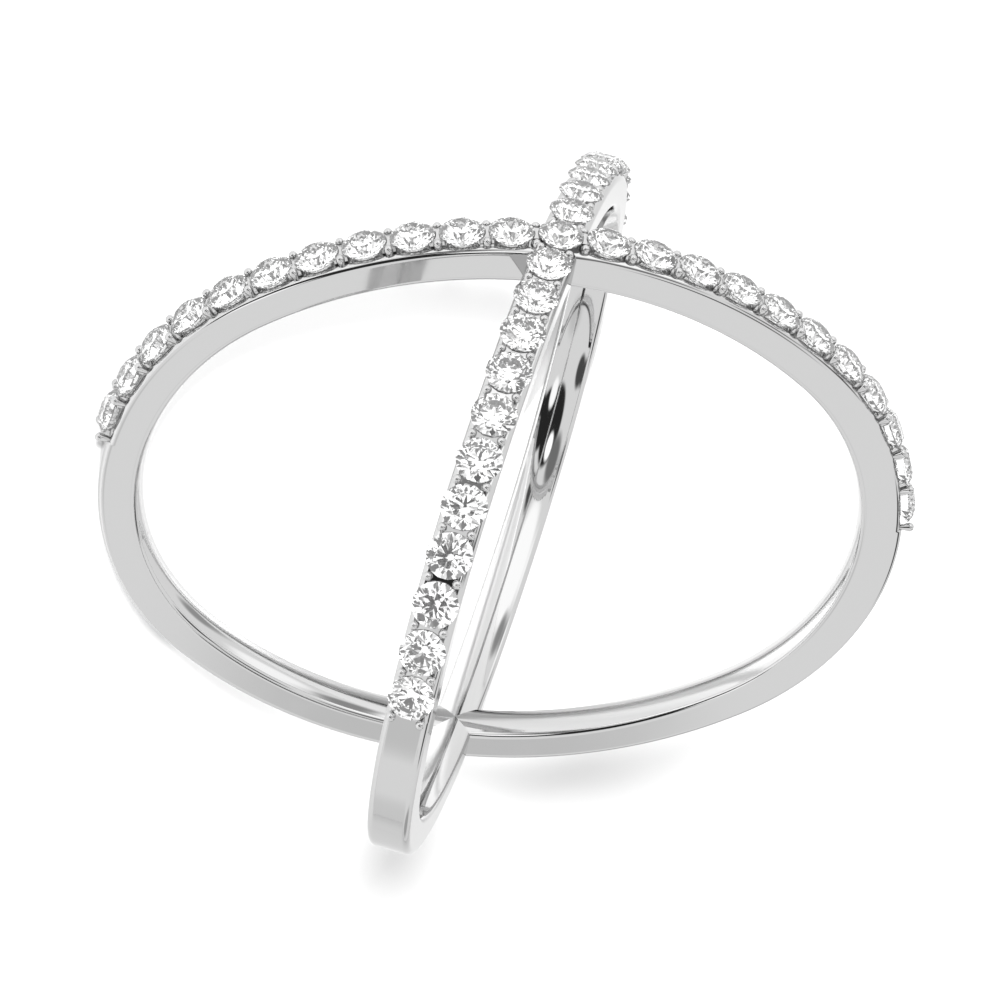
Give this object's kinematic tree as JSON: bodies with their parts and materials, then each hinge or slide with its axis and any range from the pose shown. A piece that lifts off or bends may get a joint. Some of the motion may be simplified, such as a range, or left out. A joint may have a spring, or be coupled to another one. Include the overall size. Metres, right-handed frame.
{
  "type": "crossover ring",
  "caption": "Finger ring of two slim tilted loops that cross at the front and the back, with rows of small round stones held by shared prongs over the front half.",
  "frame": {"origin": "middle of the finger hole, on its axis and halfway along it", "axes": "+Z along the finger hole, -Y towards the crossing with the centre stone, +X to the side where the low end of one loop and the high end of the other lie"},
  "size_m": [0.0206, 0.0201, 0.0158],
  "materials": {
    "white_gold": "polished white gold",
    "diamond": "clear cut and polished"
  },
  "bodies": {
    "root": {"band": "white_gold", "stone_centre": "diamond", "stone_left_1": "diamond", "stone_left_2": "diamond", "stone_left_3": "diamond", "stone_left_4": "diamond", "stone_left_5": "diamond", "stone_left_6": "diamond", "stone_left_7": "diamond", "stone_left_8": "diamond", "stone_left_9": "diamond", "stone_left_10": "diamond", "stone_left_11": "diamond", "stone_right_1": "diamond", "stone_right_2": "diamond", "stone_right_3": "diamond", "stone_right_4": "diamond", "stone_right_5": "diamond", "stone_right_6": "diamond", "stone_right_7": "diamond", "stone_right_8": "diamond", "stone_right_9": "diamond", "stone_right_10": "diamond", "stone_right_11": "diamond", "stone_front_1": "diamond", "stone_front_2": "diamond", "stone_front_3": "diamond", "stone_front_4": "diamond", "stone_front_5": "diamond", "stone_front_6": "diamond", "stone_front_7": "diamond", "stone_front_8": "diamond", "stone_front_9": "diamond", "stone_front_10": "diamond", "stone_front_11": "diamond", "stone_rear_1": "diamond", "stone_rear_2": "diamond", "stone_rear_3": "diamond", "stone_rear_4": "diamond", "stone_rear_5": "diamond", "stone_rear_6": "diamond", "stone_rear_7": "diamond", "stone_rear_8": "diamond", "stone_rear_9": "diamond", "stone_rear_10": "diamond", "stone_rear_11": "diamond"}
  },
  "joints": []
}
